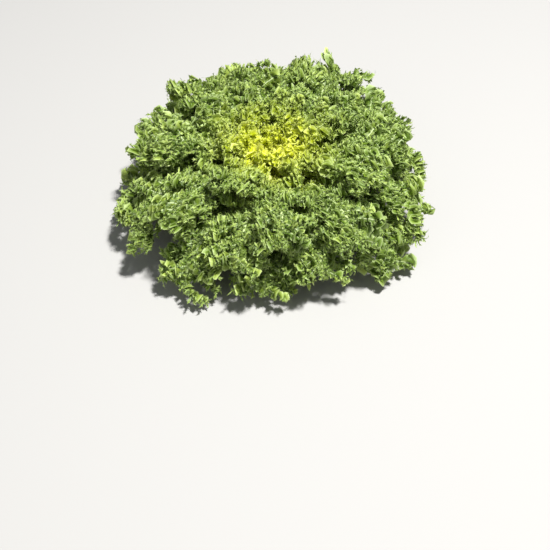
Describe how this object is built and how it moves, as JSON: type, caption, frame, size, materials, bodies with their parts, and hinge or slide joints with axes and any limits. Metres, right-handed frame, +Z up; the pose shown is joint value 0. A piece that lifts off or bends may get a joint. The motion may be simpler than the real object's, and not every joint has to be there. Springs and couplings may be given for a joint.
{
  "type": "curly endive head",
  "caption": "Whole head of curly endive, cut at the stump, with frizzy lobed leaves in a wide dome round a sunken, pale yellow heart.",
  "frame": {"origin": "middle of the stump's cut face, on the surface that the head stands on", "axes": "+Z up along the stump through the heart, -Y towards the viewer of the picture"},
  "size_m": [0.3932, 0.3873, 0.1447],
  "materials": {
    "stump": "damp, cut cream-white stem",
    "outer_leaf": "waxy mid-green leaf with a pale rib",
    "middle_leaf": "waxy light-green leaf with a pale rib",
    "heart_leaf": "tender yellow-green leaf with a white rib"
  },
  "bodies": {
    "root": {"stump": "stump", "outer_leaf_01": "outer_leaf", "outer_leaf_02": "outer_leaf", "outer_leaf_03": "outer_leaf", "outer_leaf_04": "outer_leaf", "outer_leaf_05": "outer_leaf", "outer_leaf_06": "outer_leaf", "outer_leaf_07": "outer_leaf", "outer_leaf_08": "outer_leaf", "outer_leaf_09": "outer_leaf", "outer_leaf_10": "outer_leaf", "outer_leaf_11": "outer_leaf", "outer_leaf_12": "outer_leaf", "outer_leaf_13": "outer_leaf", "outer_leaf_14": "outer_leaf", "outer_leaf_15": "outer_leaf", "outer_leaf_16": "outer_leaf", "middle_leaf_01": "middle_leaf", "middle_leaf_02": "middle_leaf", "middle_leaf_03": "middle_leaf", "middle_leaf_04": "middle_leaf", "middle_leaf_05": "middle_leaf", "middle_leaf_06": "middle_leaf", "middle_leaf_07": "middle_leaf", "middle_leaf_08": "middle_leaf", "middle_leaf_09": "middle_leaf", "middle_leaf_10": "middle_leaf", "middle_leaf_11": "middle_leaf", "middle_leaf_12": "middle_leaf", "middle_leaf_13": "middle_leaf", "middle_leaf_14": "middle_leaf", "middle_leaf_15": "middle_leaf", "heart_leaf_01": "heart_leaf", "heart_leaf_02": "heart_leaf", "heart_leaf_03": "heart_leaf", "heart_leaf_04": "heart_leaf", "heart_leaf_05": "heart_leaf", "heart_leaf_06": "heart_leaf", "heart_leaf_07": "heart_leaf", "heart_leaf_08": "heart_leaf", "heart_leaf_09": "heart_leaf", "heart_leaf_10": "heart_leaf", "heart_leaf_11": "heart_leaf", "heart_leaf_12": "heart_leaf", "heart_leaf_13": "heart_leaf", "heart_leaf_14": "heart_leaf", "heart_leaf_15": "heart_leaf"}
  },
  "joints": []
}
